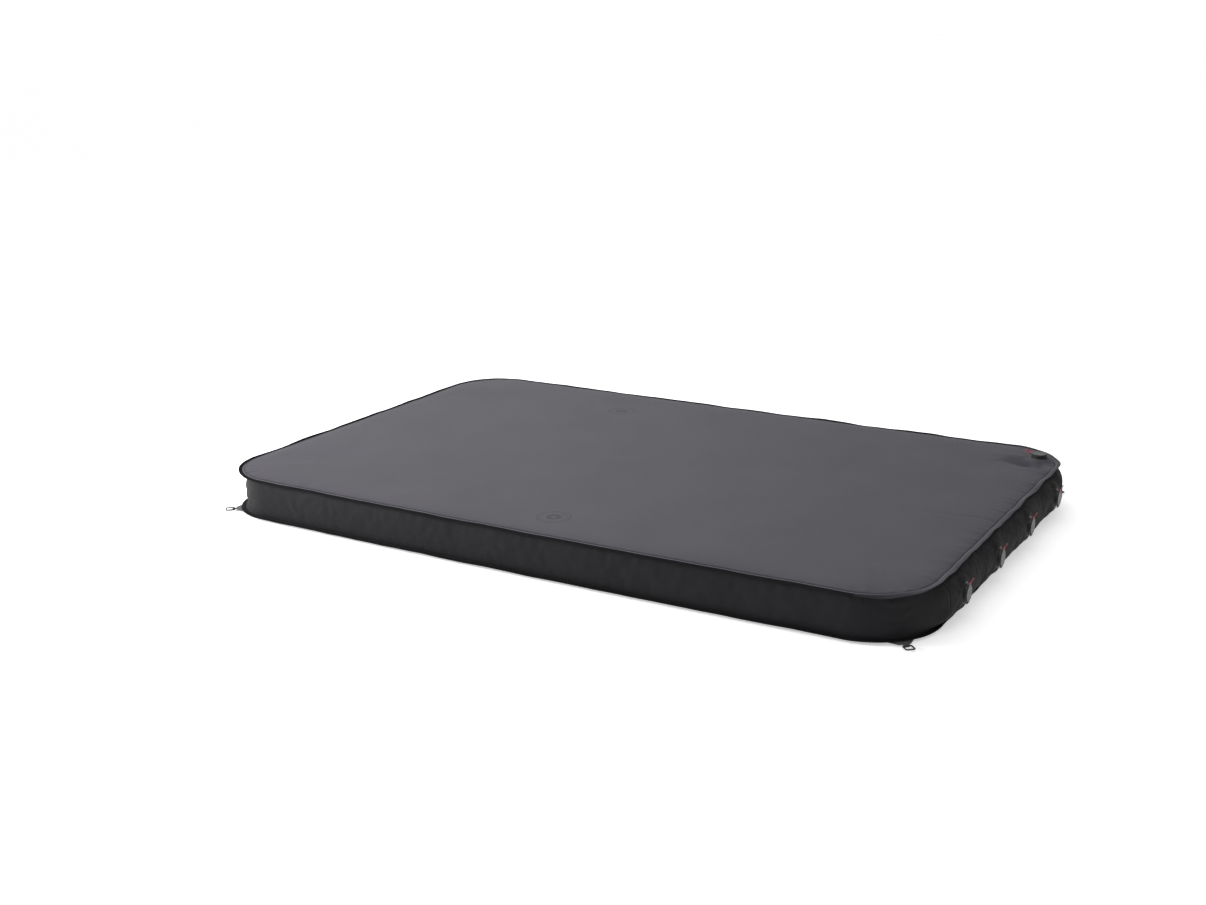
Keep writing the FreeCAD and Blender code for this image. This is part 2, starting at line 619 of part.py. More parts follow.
def export():
    os.makedirs("parts", exist_ok=True)
    for node in nodes:
        node.Shape.exportStep(f"parts/{node.Label}.step")


build()
doc.recompute()
check()
export()
print(len(nodes), "sub-parts written")
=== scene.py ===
"""Inflated double sleeping pad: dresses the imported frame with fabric, foam, webbing and moulded parts.

Laid out as an add-on and run as a script. Everything is in metres, in the frame's own axes.
"""
import math

import bmesh
import bpy
import numpy as np
from bpy.props import FloatProperty, FloatVectorProperty, IntProperty, PointerProperty
from mathutils import Matrix, Vector


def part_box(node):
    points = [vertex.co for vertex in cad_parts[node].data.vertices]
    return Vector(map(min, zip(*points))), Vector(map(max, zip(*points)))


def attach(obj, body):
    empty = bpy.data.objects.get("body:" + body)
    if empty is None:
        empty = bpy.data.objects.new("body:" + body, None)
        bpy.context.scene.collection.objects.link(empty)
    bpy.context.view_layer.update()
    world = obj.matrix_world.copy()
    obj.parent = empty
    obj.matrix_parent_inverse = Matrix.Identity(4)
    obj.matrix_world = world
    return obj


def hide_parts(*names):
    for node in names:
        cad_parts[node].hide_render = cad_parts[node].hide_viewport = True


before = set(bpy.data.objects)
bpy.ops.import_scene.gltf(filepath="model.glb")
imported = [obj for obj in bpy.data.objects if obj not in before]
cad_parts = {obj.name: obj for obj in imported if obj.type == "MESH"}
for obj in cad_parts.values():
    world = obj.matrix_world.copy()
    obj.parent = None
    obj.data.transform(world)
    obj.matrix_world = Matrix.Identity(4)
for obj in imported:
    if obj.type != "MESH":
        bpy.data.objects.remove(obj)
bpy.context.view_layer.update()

bl_info = {
    "name": "Sleeping pad",
    "version": (1, 0, 0),
    "blender": (4, 5, 0),
    "location": "3D View > Sidebar > Sleeping pad",
    "description": "Builds an inflated double sleeping pad around its packed frame",
    "category": "Add Mesh",
}

# ---------------------------------------------------------------- places read from the frame

HALF_LENGTH, HALF_WIDTH, TOP_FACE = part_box("top_sheet")[1]
FOOT_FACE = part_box("foot_wall")[1].x
WALL_VALVES = ("foot_valve_1", "foot_valve_2", "foot_valve_3", "foot_valve_4")
LID_VALVE = "lid_valve"
VALVES = (*WALL_VALVES, LID_VALVE)
CORNERS = ("head_left", "head_right", "foot_left", "foot_right")


def middle(node):
    low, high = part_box(node)
    return (low + high) / 2


VALVE_SPOTS = {name: middle(name + "_disc") for name in VALVES}
NECK_RADIUS = 0.020  # of the moulded neck that stands through the fabric


# ---------------------------------------------------------------- sizes and colours a user would change

class PadShape(bpy.types.PropertyGroup):
    corner_radius: FloatProperty(
        name="Corner radius", description="Radius of the round corners in plan",
        default=0.167, min=0.02, unit="LENGTH", subtype="DISTANCE")
    margin: FloatProperty(
        name="Seam margin", description="Width of the welded strip that stands out past the wall",
        default=0.0125, min=0.004, unit="LENGTH", subtype="DISTANCE")
    cloth: FloatProperty(
        name="Fabric thickness", description="Thickness of each laminated fabric",
        default=0.0009, min=0.0003, unit="LENGTH", subtype="DISTANCE")
    crown_run: FloatProperty(
        name="Crown run", description="How far in from the seam the top reaches its full height",
        default=0.020, min=0.005, unit="LENGTH", subtype="DISTANCE")
    side_bulge: FloatProperty(
        name="Side bulge", description="How far the long walls swell past their seams",
        default=0.007, unit="LENGTH", subtype="DISTANCE")
    corner_hollow: FloatProperty(
        name="Corner hollow", description="How far the wall pulls in at the head corners",
        default=0.016, unit="LENGTH", subtype="DISTANCE")
    bow: FloatProperty(
        name="Side bow", description="How far the near side swells outwards at mid-length",
        default=0.014, unit="LENGTH", subtype="DISTANCE")
    ruffle: FloatProperty(
        name="Foot seam ruffle", description="Height of the waves along the foot seams",
        default=0.0035, unit="LENGTH", subtype="DISTANCE")
    seed: IntProperty(name="Fold seed", description="Picks the pattern of puckers and folds", default=7)


class FabricLooks(bpy.types.PropertyGroup):
    top: FloatVectorProperty(
        name="Top fabric", description="Colour of the sleeping surface", subtype="COLOR",
        size=3, min=0, max=1, default=(0.058, 0.055, 0.067))
    wall: FloatVectorProperty(
        name="Wall fabric", description="Colour of walls, underside and dark margin", subtype="COLOR",
        size=3, min=0, max=1, default=(0.0135, 0.0133, 0.0148))
    foam: FloatVectorProperty(
        name="Foam", description="Colour of the foam core", subtype="COLOR",
        size=3, min=0, max=1, default=(0.62, 0.58, 0.42))
    webbing: FloatVectorProperty(
        name="Webbing", description="Colour of the corner tabs", subtype="COLOR",
        size=3, min=0, max=1, default=(0.016, 0.016, 0.018))
    thread_pitch: FloatProperty(
        name="Thread pitch", description="Distance from one thread to the next", default=0.0009,
        min=0.0003, unit="LENGTH", subtype="DISTANCE")


class FittingLooks(bpy.types.PropertyGroup):
    black: FloatVectorProperty(
        name="Valve black", description="Colour of the bases and caps", subtype="COLOR",
        size=3, min=0, max=1, default=(0.016, 0.016, 0.017))
    grey: FloatVectorProperty(
        name="Valve grey", description="Colour of the plugs and cap discs", subtype="COLOR",
        size=3, min=0, max=1, default=(0.034, 0.034, 0.036))
    red: FloatVectorProperty(
        name="Pull tab", description="Colour of the pull tabs", subtype="COLOR",
        size=3, min=0, max=1, default=(0.30, 0.016, 0.034))
    steel: FloatVectorProperty(
        name="Pins", description="Colour of the hinge pins", subtype="COLOR",
        size=3, min=0, max=1, default=(0.50, 0.50, 0.51))


class Studio(bpy.types.PropertyGroup):
    floor: FloatProperty(
        name="Floor tone", description="How pale the floor is", default=0.97, min=0, max=1)
    glow: FloatProperty(
        name="Floor glow", description="Light that the floor itself gives", default=0.45, min=0)
    key: FloatProperty(name="Key light", description="Power of the main softbox", default=66, unit="POWER")
    side: FloatProperty(
        name="Side light", description="Power of the softbox low on the left", default=150, unit="POWER")
    top_light: FloatProperty(
        name="Top light", description="Power of the softbox overhead", default=30, unit="POWER")
    surround: FloatProperty(
        name="Surround", description="Brightness of the white surround", default=1.0, min=0)
    shade: FloatProperty(
        name="Shaded side", description="Share of the surround's brightness away from the backdrop",
        default=0.52, min=0, max=1, subtype="FACTOR")
    lens: FloatProperty(
        name="Lens", description="Focal length", default=45.77, min=10, subtype="DISTANCE_CAMERA")


GROUPS = {"pad_shape": PadShape, "pad_fabric": FabricLooks,
          "pad_fittings": FittingLooks, "pad_studio": Studio}


# ---------------------------------------------------------------- plan outline and folds

LONG_COUNT = 186   # samples along a long side
SHORT_COUNT = 150  # samples along a short side
TURN_COUNT = 50    # samples round a corner
TIGHT_RADIUS = 0.027  # corner radius of the first ring that no longer follows the seam
PLAIN_INSET = 0.14    # inset of that ring
ELSEWHERE = 10        # added to a distance, to leave out points on another side of the pad


def smooth(value, low, high):
    """0 below low, 1 above high, easing in between; high may be the lower one."""
    t = np.clip((value - low) / (high - low), 0, 1)
    return t * t * (3 - 2 * t)


class Outline:
    """The pad's outline in plan, sampled once. ring(inset) gives its points moved inwards."""

    def __init__(self, shape):
        self.shape = shape
        sides = [((0, -1), (-1, -1), (1, -1), LONG_COUNT), ((1, 0), (1, -1), (1, 1), SHORT_COUNT),
                 ((0, 1), (1, 1), (-1, 1), LONG_COUNT), ((-1, 0), (-1, 1), (-1, -1), SHORT_COUNT)]
        normal, first, last, share = [], [], [], []
        for (nx, ny), start, stop, count in sides:
            turn = math.atan2(ny, nx)
            for i in range(count):
                normal.append((nx, ny))
                first.append(start)
                last.append(stop)
                share.append(i / count)
            for i in range(TURN_COUNT):
                angle = turn + math.pi / 2 * i / TURN_COUNT
                normal.append((math.cos(angle), math.sin(angle)))
                first.append(stop)
                last.append(stop)
                share.append(0)
        self.normal = np.array(normal, float)
        self.first = np.array(first, float)
        self.last = np.array(last, float)
        self.share = np.array(share, float)[:, None]
        self.count = len(share)
        edge = self.ring(0)
        step = np.linalg.norm(np.roll(edge, -1, axis=0) - edge, axis=1)
        self.length = step.sum()
        self.along = np.concatenate([[0], np.cumsum(step)[:-1]])
        nx, ny = self.normal.T
        self.foot = np.clip(nx, 0, 1) ** 2
        self.head = np.clip(-nx, 0, 1) ** 2
        self.near = np.clip(-ny, 0, 1) ** 2
        self.far = np.clip(ny, 0, 1) ** 2
        self.corner = (2 * nx * ny) ** 2
        self.near_foot = self.corner * self.near * (nx > 0)

    def radius(self, inset):
        if inset <= PLAIN_INSET:
            return self.shape.corner_radius - inset
        return TIGHT_RADIUS * (1 - (inset - PLAIN_INSET) / (HALF_WIDTH - PLAIN_INSET))

    def ring(self, inset):
        radius = self.radius(inset)
        reach = np.array([HALF_LENGTH - inset - radius, HALF_WIDTH - inset - radius])
        corner = self.first * (1 - self.share) + self.last * self.share
        points = corner * reach + self.normal * radius
        lean = self.shape.bow * (1 - (points[:, 0] / HALF_LENGTH) ** 2)
        points[:, 1] -= lean * smooth(-points[:, 1], HALF_WIDTH * 0.4, HALF_WIDTH * 0.95)
        return points

    def ripple(self, wave, seed, terms=7):
        """Smooth noise round the outline, about -1 to 1, whose waves are about wave long."""
        picks = np.random.RandomState(self.shape.seed * 100 + seed)
        turns = np.round(self.length / wave * picks.uniform(0.6, 1.5, terms))
        starts = picks.uniform(0, 2 * math.pi, terms)
        total = sum(np.cos(2 * math.pi * n * self.along / self.length + p) for n, p in zip(turns, starts))
        return total / math.sqrt(terms)


def drift(x, y, wave, seed, terms=9):
    """Smooth noise over a surface, about -1 to 1, whose waves are about wave long."""
    picks = np.random.RandomState(seed)
    total = np.zeros_like(x)
    for _ in range(terms):
        heading, size, start = picks.uniform(0, math.pi), picks.uniform(0.7, 1.4), picks.uniform(0, 7)
        travel = x * math.cos(heading) + y * math.sin(heading)
        total += np.cos(2 * math.pi * travel / (wave * size) + start)
    return total / math.sqrt(terms)


# ---------------------------------------------------------------- mesh helpers

def add_object(name, vertices, faces, smooth_faces=True):
    mesh = bpy.data.meshes.new(name)
    mesh.from_pydata([tuple(v) for v in vertices], [], [tuple(int(i) for i in f) for f in faces])
    mesh.validate()
    if smooth_faces:
        mesh.shade_smooth()
    piece = bpy.data.objects.new(name, mesh)
    bpy.context.scene.collection.objects.link(piece)
    return piece


def ring_faces(rows, count, flip=False):
    """Quads of a closed band of rows, each row count points round."""
    faces = []
    for r in range(rows - 1):
        for i in range(count):
            j = (i + 1) % count
            quad = (r * count + i, r * count + j, (r + 1) * count + j, (r + 1) * count + i)
            faces.append(quad[::-1] if flip else quad)
    return faces


def close_middle(piece, first, last):
    """Join the points of a row that has drawn in to a line, so that the sheet closes along it."""
    mesh = bmesh.new()
    mesh.from_mesh(piece.data)
    mesh.verts.ensure_lookup_table()
    bmesh.ops.remove_doubles(mesh, verts=mesh.verts[first:last], dist=1e-5)
    mesh.to_mesh(piece.data)
    mesh.free()


def set_values(piece, name, values):
    layer = piece.data.attributes.new(name, "FLOAT", "POINT")
    layer.data.foreach_set("value", np.asarray(values, np.float32))


def set_cloth_map(piece, across, along, wrap=None):
    """A UV map in metres, so that the weave keeps its size; across starts again at the length wrap."""
    mesh = piece.data
    corners = np.zeros(len(mesh.loops), np.int32)
    mesh.loops.foreach_get("vertex_index", corners)
    spots = np.stack([np.asarray(across)[corners], np.asarray(along)[corners]], axis=1)
    if wrap:
        for face in mesh.polygons:
            part = spots[face.loop_start:face.loop_start + face.loop_total, 0]
            if part.max() - part.min() > wrap / 2:
                part[part < wrap / 2] += wrap
    layer = mesh.uv_layers.new(name="Cloth")
    layer.data.foreach_set("uv", spots.astype(np.float32).ravel())


def thicken(piece, depth):
    """Give a sheet its thickness, away from the face that shows."""
    solid = piece.modifiers.new("Fabric thickness", "SOLIDIFY")
    solid.thickness = depth
    solid.offset = -1
    solid.use_even_offset = False


def finish_piece(piece, body, slot, material, *nodes):
    piece.data.materials.clear()
    piece.data.materials.append(material)
    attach(piece, body)
    if nodes:
        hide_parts(*nodes)
    return piece


# ---------------------------------------------------------------- surfaces of the shell

SEAM_TOP = 0.0060     # how far the top seam lies under the crown
SEAM_BOTTOM = 0.0060  # how far the bottom seam lies over the ground
GAP = 0.0001          # between two welded layers, so that their faces don't coincide
WALL_ROWS = 30
VALVE_FLAT = 0.027    # radius round a valve where the fabric lies flat on its weld disc
WALL_SETBACK = 0.0005  # of the wall's own edges from the cover sheets' edges
WALL_TURN = 0.0012    # height in which the wall turns down from its margin
DARK_MARGIN = 0.0091  # width of the top's margin that has the wall's colour, partly a darker weld and partly painted shade

# degrees by which the top's margin hangs on each side; below 0 it stands up
LEAN_NEAR, LEAN_FAR, LEAN_HEAD, LEAN_FOOT, LEAN_NEAR_FOOT = 8, -8, -12, -9, 55
LEAN_SWAY = 0.08      # radians by which that varies along the seam
LEAN_BOTTOM = 6       # degrees, of the bottom's margin

# how far the seam darkens the fabric at an inset: the margin is dark, partly a darker weld and partly painted
# shade; its crease is pale, a painted highlight; the groove past it is dark, painted shade
SEAM_TONE_AND_PAINTED_LIGHT = ((0, 1), (0.0090, 1), (0.0110, -0.4), (0.0125, -0.6),
              (0.0136, -0.3), (0.0149, 0.55), (0.0165, 0.45), (0.0200, 0))

# how the walls settle as cloth
CLOTH_STEPS = 14
AIR_PUSH = 3.0        # of the air inside
SPARE_CLOTH = 0.008   # share by which a panel's cloth is larger than its shape
CLOTH_REACH = 0.006   # furthest that a point may move


def seam_insets(shape):
    return [0.0, 0.003, 0.006, 0.009, 0.0110, shape.margin]


def sheet_insets(shape):
    """Insets of a cover sheet's rings: close together by the seam, wide apart in the middle."""
    insets = seam_insets(shape)
    step = 0.0011
    while insets[-1] + step < 0.97 * HALF_WIDTH:
        insets.append(insets[-1] + step)
        step = min(step * 1.22, 0.0052) if insets[-1] < PLAIN_INSET else step * 1.22
    return insets + [HALF_WIDTH]


def droop(outline):
    """Angle by which the top's margin hangs: down along the near side, and most at the near foot corner."""
    lean = LEAN_NEAR * outline.near + LEAN_FAR * outline.far + LEAN_HEAD * outline.head
    lean = lean + LEAN_FOOT * outline.foot + LEAN_NEAR_FOOT * outline.near_foot
    return np.radians(lean) + LEAN_SWAY * outline.ripple(0.30, 9)


def margin_ring(shape, outline, inset, top=True):
    """One ring of a welded margin in plan and how far it hangs below its crease."""
    angle = droop(outline) if top else np.full(outline.count, math.radians(LEAN_BOTTOM))
    out = shape.margin - inset
    crease_line = outline.ring(shape.margin)
    points = crease_line + outline.normal * (out * np.cos(angle))[:, None]
    return points, out * np.sin(angle)


def seam_wave(shape, outline, inset):
    """How far the seam margin and the cloth beside it stand off their level."""
    fade = math.exp(-inset / 0.022)
    foot = outline.foot * (1 - 0.45 * outline.corner)
    long_wave = 0.0007 * outline.ripple(0.24, 1)
    short_wave = (0.0004 + shape.ruffle * (0.55 * foot + 0.3 * outline.near_foot)) * outline.ripple(0.12, 2)
    return fade * (long_wave + short_wave)


def top_height(shape, outline, inset, points):
    """Height of the top sheet's outer face along one ring."""
    level = TOP_FACE - SEAM_TOP + seam_wave(shape, outline, inset)
    if inset <= shape.margin:
        return level - margin_ring(shape, outline, inset)[1]
    past = inset - shape.margin
    run = shape.crown_run * (1 + 0.8 * outline.corner)
    rise = SEAM_TOP * (1 - np.exp(-past / run))
    groove = 0.0013 * math.exp(-((past - 0.0012) / 0.0014) ** 2)
    strength = 0.0004 + 0.0008 * outline.foot + 0.0010 * outline.corner
    pucker = strength * outline.ripple(0.038, 3) * math.exp(-past / 0.026) * min(past / 0.008, 1)
    swell = 0.0008 * outline.ripple(0.30, 4) * math.exp(-((past - 0.09) / 0.07) ** 2)
    x, y = points.T
    calm = 0.0006 * drift(x, y, 0.34, shape.seed + 50) * min(past / 0.12, 1)
    height = level + rise - groove + pucker + swell + calm
    return lid_valve_ground(shape, x, y, height - crease(x, y))


def foot_share(outline):
    """1 along the foot end, where the margin keeps the top's own colour and gets less of the painted shade,
    easing to 0 round its corners.
    """
    return smooth(outline.normal[:, 0], 0.05, 0.85)


def seam_tone_and_painted_light(outline, inset):
    """How far the fabric is darkened along one ring, by a darker weld and painted shade; below 0 it is paler,
    a painted highlight.
    """
    depth = np.interp(inset, *zip(*SEAM_TONE_AND_PAINTED_LIGHT))
    return depth * (1 - 0.75 * foot_share(outline)) if depth > 0 else np.full(outline.count, depth)


def crease(x, y):
    """A shallow line left by folding, near the middle of the foot end."""
    line = -0.07 + 0.04 * (x - 0.78) / 0.22
    return 0.0007 * np.exp(-((y - line) / 0.006) ** 2) * smooth(x, 0.74, 0.82)


def lid_valve_ground(shape, x, y, height):
    """Level ground under the lid valve, with a hollow in front of it and tucks that run out from it."""
    spot = VALVE_SPOTS[LID_VALVE]
    away = np.hypot(x - spot.x, y - spot.y)
    turn = np.arctan2(y - spot.y, x - spot.x)
    hollow = 0.0165 * np.exp(-((x - spot.x + 0.010) / 0.062) ** 2 - ((y - spot.y + 0.058) / 0.030) ** 2)
    band = smooth(away, VALVE_FLAT, 0.045) * smooth(away, 0.12, 0.05)
    tucks = 0.0011 * np.cos(9 * turn + 1.3) * band * (1 + 0.6 * np.cos(turn - 0.6))
    height = height - hollow + tucks
    level = smooth(away, 0.043, VALVE_FLAT)
    return height * (1 - level) + TOP_FACE * level


def bottom_height(shape, outline, inset, points):
    """Height of the bottom sheet's outer face along one ring; it is flat on the ground inside the seam."""
    if inset <= shape.margin:
        lift = seam_wave(shape, outline, inset) * 0.6
        return SEAM_BOTTOM + lift * (1 - outline.corner) + 0.0008 * (1 - inset / shape.margin)
    past = inset - shape.margin
    return SEAM_BOTTOM * math.exp(-past / 0.014) * np.ones(outline.count) * smooth(past, 0.11, 0.05)


def wall_bulge(shape, outline, down):
    """How far the wall stands out past the seam line; down goes from 0 at the top seam to 1 at the bottom."""
    nx, ny = outline.normal.T
    y = outline.ring(shape.margin)[:, 1]
    belly = math.sin(math.pi * down) ** 0.8
    plump = 1 - abs(2 * down - 1) ** 3.6
    straight = 1 - outline.corner
    sides = shape.side_bulge * straight * (outline.near + outline.far + 0.8 * outline.head)
    hollow = shape.corner_hollow * outline.corner * (nx < 0) * (0.8 + 0.2 * math.cos(2 * math.pi * down))
    reach = FOOT_FACE - (HALF_LENGTH - shape.margin)
    foot = reach * outline.foot * smooth(np.abs(y), 0.60, 0.44)
    foot = foot * (1 - 0.05 * smooth(np.abs(np.abs(y) - 0.261), 0.08, 0.0))
    bulge = (sides - hollow) * belly + foot * plump
    folds = 0.0016 * np.sin(2 * math.pi * (3.3 * down + 0.35 * outline.ripple(0.12, 5))) * outline.corner
    tension = 0.0006 * outline.ripple(0.05, 6) * math.exp(-down / 0.16)
    low_folds = (0.0007 + 0.0024 * outline.foot) * outline.ripple(0.075, 7)
    tension += low_folds * math.exp(-((down - 0.72) / 0.2) ** 2)
    slow = 0.0018 * outline.ripple(0.34, 8)
    return bulge + (folds + tension + slow) * belly


def wall_rows(shape, outline):
    """The wall's outer face: under the top seam margin, down the wall and out over the bottom one."""
    rows = []
    cloth = 2 * shape.cloth + GAP
    edge = seam_insets(shape)
    for inset in [WALL_SETBACK, *edge[1:]]:
        points = margin_ring(shape, outline, inset)[0]
        rows.append(np.column_stack([points, top_height(shape, outline, inset, points) - cloth]))
    top = rows[-1][:, 2] - WALL_TURN
    base = outline.ring(shape.margin)
    low = bottom_height(shape, outline, shape.margin, base) + cloth + WALL_TURN
    for k in range(1, WALL_ROWS):
        down = 0.35 * k / WALL_ROWS + 0.65 * (1 - math.cos(math.pi * k / WALL_ROWS)) / 2
        height = top * (1 - down) + low * down
        out = wall_bulge(shape, outline, down)
        for name in WALL_VALVES:
            spot = VALVE_SPOTS[name]
            away = np.hypot(base[:, 1] - spot.y, height - spot.z)
            away = away + ELSEWHERE * (outline.normal[:, 0] < 0.9)
            level = smooth(away, 0.045, VALVE_FLAT)
            out = out * (1 - level) + (FOOT_FACE - base[:, 0]) * level
        rows.append(np.column_stack([base + outline.normal * out[:, None], height]))
    for inset in [*edge[:0:-1], WALL_SETBACK]:
        points = outline.ring(inset)
        rows.append(np.column_stack([points, bottom_height(shape, outline, inset, points) + cloth]))
    return rows


def settle(piece, held):
    """Let a panel settle as cloth under the air inside it; held is 1 where it is welded and 0 where free."""
    mesh = piece.data
    start = np.zeros(len(mesh.vertices) * 3)
    mesh.vertices.foreach_get("co", start)
    start = start.reshape(-1, 3)
    group = piece.vertex_groups.new(name="Held")
    steps = np.round(held, 1)
    for weight in np.unique(steps):
        group.add([int(i) for i in np.flatnonzero(steps == weight)], float(weight), "REPLACE")
    cloth = piece.modifiers.new("Settle", "CLOTH")
    fibre = cloth.settings
    fibre.quality = 7
    fibre.mass = 0.002
    fibre.air_damping = 6
    fibre.tension_stiffness = fibre.compression_stiffness = 4
    fibre.shear_stiffness = 1
    fibre.bending_stiffness = 0.02
    fibre.vertex_group_mass = group.name
    fibre.shrink_min = -SPARE_CLOTH
    fibre.use_pressure = True
    fibre.uniform_pressure_force = AIR_PUSH
    fibre.effector_weights.gravity = 0
    cloth.collision_settings.use_collision = False
    cloth.point_cache.frame_start, cloth.point_cache.frame_end = 1, CLOTH_STEPS
    for step in range(1, CLOTH_STEPS + 1):
        bpy.context.scene.frame_set(step)
    shown = piece.evaluated_get(bpy.context.evaluated_depsgraph_get()).data
    end = np.zeros(len(mesh.vertices) * 3)
    shown.vertices.foreach_get("co", end)
    moved = end.reshape(-1, 3) - start
    far = np.linalg.norm(moved, axis=1, keepdims=True)
    moved *= np.minimum(1, CLOTH_REACH / np.maximum(far, 1e-9)) * (1 - held)[:, None]
    piece.modifiers.remove(cloth)
    piece.vertex_groups.remove(group)
    mesh.vertices.foreach_set("co", (start + moved).astype(np.float32).ravel())
    mesh.update()
    bpy.context.scene.frame_set(1)


def valve_axis(name):
    """Centre of the fabric's face at a valve, and the direction that the valve faces."""
    spot = VALVE_SPOTS[name]
    if name == LID_VALVE:
        return Vector((spot.x, spot.y, TOP_FACE)), Vector((0, 0, 1))
    return Vector((FOOT_FACE, spot.y, spot.z)), Vector((1, 0, 0))


def cut_valve_holes(piece, names):
    """Open a round hole in the fabric for each valve's neck."""
    mesh = bmesh.new()
    mesh.from_mesh(piece.data)
    for name in names:
        spot, out = valve_axis(name)

        def from_axis(vertex):
            offset = vertex.co - spot
            return offset - out * offset.dot(out)

        def inside(vertex):
            return abs((vertex.co - spot).dot(out)) < 0.03 and from_axis(vertex).length < NECK_RADIUS * 0.98

        bmesh.ops.delete(mesh, geom=[v for v in mesh.verts if inside(v)], context="VERTS")
        for vertex in mesh.verts:
            if not vertex.is_boundary or abs((vertex.co - spot).dot(out)) > 0.03:
                continue
            offset = from_axis(vertex)
            if offset.length < NECK_RADIUS + 0.012:
                vertex.co = spot + offset.normalized() * (NECK_RADIUS + 0.0005)
    mesh.to_mesh(piece.data)
    mesh.free()


# ---------------------------------------------------------------- materials

def new_material(name):
    material = bpy.data.materials.new(name)
    material.use_nodes = True
    material.node_tree.nodes.clear()
    tree = material.node_tree
    output = tree.nodes.new("ShaderNodeOutputMaterial")
    shader = tree.nodes.new("ShaderNodeBsdfPrincipled")
    tree.links.new(shader.outputs[0], output.inputs[0])
    return material, tree, shader


def new_group(name, inputs, outputs):
    """A shader node group; inputs are (name, default) and outputs are names, all plain numbers."""
    group = bpy.data.node_groups.get(name)
    if group:
        return group, None, None
    group = bpy.data.node_groups.new(name, "ShaderNodeTree")
    for label, default in inputs:
        socket = group.interface.new_socket(label, in_out="INPUT", socket_type="NodeSocketFloat")
        socket.default_value = default
    for label in outputs:
        group.interface.new_socket(label, in_out="OUTPUT", socket_type="NodeSocketFloat")
    return group, group.nodes.new("NodeGroupInput"), group.nodes.new("NodeGroupOutput")


def math_node(tree, operation, first, second=None, third=None):
    node = tree.nodes.new("ShaderNodeMath")
    node.operation = operation
    for i, value in enumerate((first, second, third)):
        if value is None:
            continue
        if isinstance(value, (int, float)):
            node.inputs[i].default_value = value
        else:
            tree.links.new(value, node.inputs[i])
    return node.outputs[0]


def noise_node(tree, vector, scale, detail=3.0, roughness=0.55):
    node = tree.nodes.new("ShaderNodeTexNoise")
    node.inputs["Scale"].default_value = scale
    node.inputs["Detail"].default_value = detail
    node.inputs["Roughness"].default_value = roughness
    tree.links.new(vector, node.inputs["Vector"])
    return node.outputs[0]


def weave_group():
    """Plain weave on the cloth map: Height of the threads, and Slub, the yarn's uneven thickness."""
    group, source, result = new_group("Plain weave", [("Pitch", 0.0009)], ["Height", "Slub"])
    if source is None:
        return group
    tree = group
    cloth = tree.nodes.new("ShaderNodeUVMap")
    cloth.uv_map = "Cloth"
    split = tree.nodes.new("ShaderNodeSeparateXYZ")
    tree.links.new(cloth.outputs[0], split.inputs[0])
    turns = math_node(tree, "DIVIDE", math.pi, source.outputs["Pitch"])
    across = math_node(tree, "SINE", math_node(tree, "MULTIPLY", split.outputs[0], turns))
    along = math_node(tree, "SINE", math_node(tree, "MULTIPLY", split.outputs[1], turns))
    weave = math_node(tree, "MULTIPLY", across, along)
    height = math_node(tree, "ABSOLUTE", weave)
    tree.links.new(height, result.inputs["Height"])
    slub = noise_node(tree, cloth.outputs[0], 190, 2)
    tree.links.new(slub, result.inputs["Slub"])
    return group


def mottle_group():
    """Slow variation over a surface, from Low to High."""
    group, source, result = new_group("Mottle", [("Scale", 5.0), ("Low", 0.0), ("High", 1.0)], ["Value"])
    if source is None:
        return group
    tree = group
    place = tree.nodes.new("ShaderNodeTexCoord")
    noise = tree.nodes.new("ShaderNodeTexNoise")
    noise.inputs["Detail"].default_value = 4
    tree.links.new(place.outputs["Object"], noise.inputs["Vector"])
    tree.links.new(source.outputs["Scale"], noise.inputs["Scale"])
    spread = tree.nodes.new("ShaderNodeMapRange")
    spread.inputs["From Min"].default_value = 0.3
    spread.inputs["From Max"].default_value = 0.7
    tree.links.new(noise.outputs[0], spread.inputs["Value"])
    tree.links.new(source.outputs["Low"], spread.inputs["To Min"])
    tree.links.new(source.outputs["High"], spread.inputs["To Max"])
    tree.links.new(spread.outputs[0], result.inputs["Value"])
    return group


def use_group(tree, group, **values):
    node = tree.nodes.new("ShaderNodeGroup")
    node.node_tree = group
    for label, value in values.items():
        node.inputs[label].default_value = value
    return node


def scaled_colour(tree, colour, factor):
    """The colour times a factor that varies over the surface."""
    node = tree.nodes.new("ShaderNodeVectorMath")
    node.operation = "SCALE"
    node.inputs[0].default_value = colour
    tree.links.new(factor, node.inputs["Scale"])
    return node.outputs[0]


def bump(tree, shader, height, distance, strength=1.0):
    node = tree.nodes.new("ShaderNodeBump")
    node.inputs["Strength"].default_value = strength
    node.inputs["Distance"].default_value = distance
    tree.links.new(height, node.inputs["Height"])
    tree.links.new(node.outputs[0], shader.inputs["Normal"])


